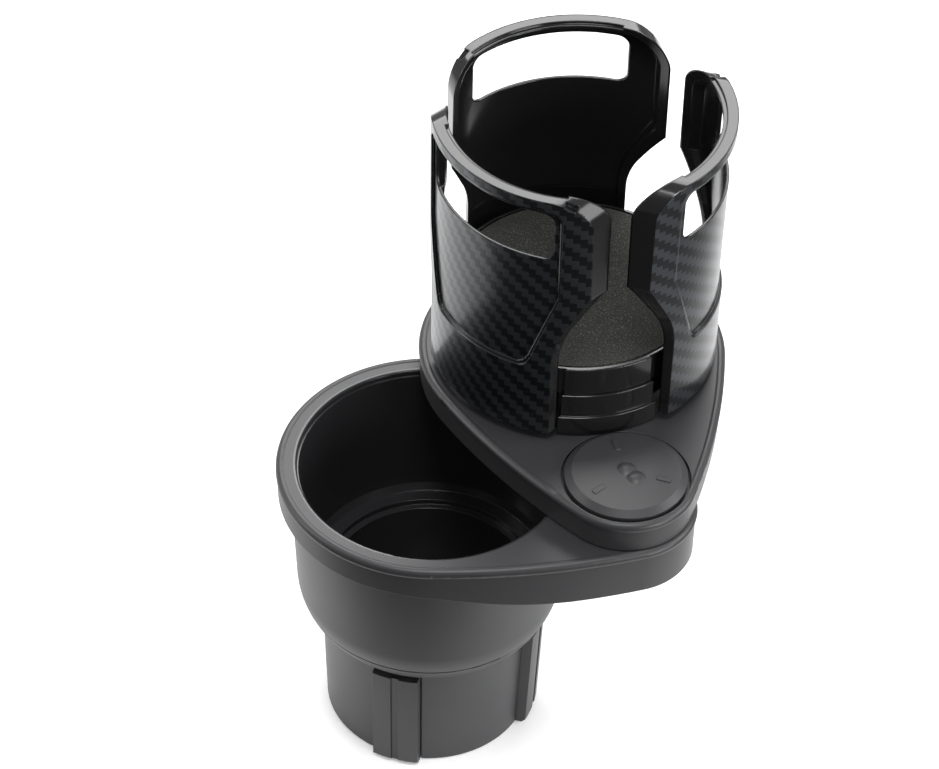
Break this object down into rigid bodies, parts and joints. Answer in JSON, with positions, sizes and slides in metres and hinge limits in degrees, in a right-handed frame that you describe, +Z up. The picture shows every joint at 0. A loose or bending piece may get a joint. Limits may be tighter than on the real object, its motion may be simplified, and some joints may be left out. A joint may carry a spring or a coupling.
{
  "type": "car cup holder",
  "caption": "Black plastic car cup holder with a lower cup well on an expanding base and a swivelling arm that carries an expanding petal basket.",
  "frame": {"origin": "centre of the foot of the base, on the axis of the lower cup, in the plane it stands on", "axes": "+Z up along the lower cup's axis, +X from that axis toward the pivot of the arm"},
  "size_m": [0.1374, 0.1557, 0.2158],
  "materials": {
    "black_abs": "fine-textured moulded black ABS",
    "gloss_abs": "polished moulded black ABS",
    "cap_abs": "satin moulded black ABS",
    "twill_abs": "black ABS with a printed twill weave pattern under clear lacquer",
    "foam_pad": "speckled dark grey closed-cell foam",
    "strip_rubber": "smooth black rubber",
    "cam_acetal": "dark grey moulded acetal",
    "ring_acetal": "natural white acetal",
    "zinc_steel": "zinc-plated steel"
  },
  "bodies": {
    "lower_holder": {"housing": "black_abs", "base_cam": "cam_acetal", "base_cam_screws": "zinc_steel", "slide_ring": "ring_acetal", "pivot_washer": "zinc_steel", "pivot_screw": "zinc_steel"},
    "base_sleeve": {"sleeve": "black_abs", "base_plate": "black_abs", "base_plate_screws": "zinc_steel", "base_washer": "zinc_steel", "base_screw": "zinc_steel"},
    "fin_1_body": {"fin_1": "black_abs", "fin_strip_1": "strip_rubber"},
    "fin_2_body": {"fin_2": "black_abs", "fin_strip_2": "strip_rubber"},
    "fin_3_body": {"fin_3": "black_abs", "fin_strip_3": "strip_rubber"},
    "arm": {"tray": "black_abs", "friction_ring": "ring_acetal", "pivot_cap": "cap_abs", "basket_scroll": "cam_acetal", "scroll_screws": "zinc_steel", "drum_washer": "zinc_steel", "drum_screw": "zinc_steel"},
    "basket_drum": {"drum": "gloss_abs", "platform": "gloss_abs", "platform_screws": "zinc_steel", "pad": "foam_pad"},
    "petal_1_body": {"petal_1": "twill_abs"},
    "petal_2_body": {"petal_2": "twill_abs"},
    "petal_3_body": {"petal_3": "twill_abs"}
  },
  "joints": [
    {"name": "base_adjust", "type": "hinge", "parent": "lower_holder", "child": "base_sleeve", "pos_m": [0, 0, 0], "axis": [0, 0, 1], "range_deg": [0, 60]},
    {"name": "fin_1_slide", "type": "slide", "parent": "base_sleeve", "child": "fin_1_body", "axis": [1, 0, 0], "range_m": [0, 0.003]},
    {"name": "fin_2_slide", "type": "slide", "parent": "base_sleeve", "child": "fin_2_body", "axis": [-0.0175, -0.9998, 0], "range_m": [0, 0.003]},
    {"name": "fin_3_slide", "type": "slide", "parent": "base_sleeve", "child": "fin_3_body", "axis": [-0.7009, 0.7133, 0], "range_m": [0, 0.003]},
    {"name": "arm_swivel", "type": "hinge", "parent": "lower_holder", "child": "arm", "pos_m": [0.0638, 0, 0.1061], "axis": [0, 0, 1], "continuous": true},
    {"name": "basket_adjust", "type": "hinge", "parent": "arm", "child": "basket_drum", "pos_m": [0.0319, 0.05525, 0.1169], "axis": [0, 0, 1], "range_deg": [0, 40]},
    {"name": "petal_1_slide", "type": "slide", "parent": "basket_drum", "child": "petal_1_body", "axis": [1, 0, 0], "range_m": [0, 0.004]},
    {"name": "petal_2_slide", "type": "slide", "parent": "basket_drum", "child": "petal_2_body", "axis": [-0.5, 0.866, 0], "range_m": [0, 0.004]},
    {"name": "petal_3_slide", "type": "slide", "parent": "basket_drum", "child": "petal_3_body", "axis": [-0.5, -0.866, 0], "range_m": [0, 0.004]}
  ],
  "couplings": [
    {"joint": "fin_1_slide", "follows": "base_adjust", "m_per_rad": 0.002864},
    {"joint": "fin_2_slide", "follows": "base_adjust", "m_per_rad": 0.002864},
    {"joint": "fin_3_slide", "follows": "base_adjust", "m_per_rad": 0.002864},
    {"joint": "petal_1_slide", "follows": "basket_adjust", "m_per_rad": 0.005729},
    {"joint": "petal_2_slide", "follows": "basket_adjust", "m_per_rad": 0.005729},
    {"joint": "petal_3_slide", "follows": "basket_adjust", "m_per_rad": 0.005729}
  ]
}
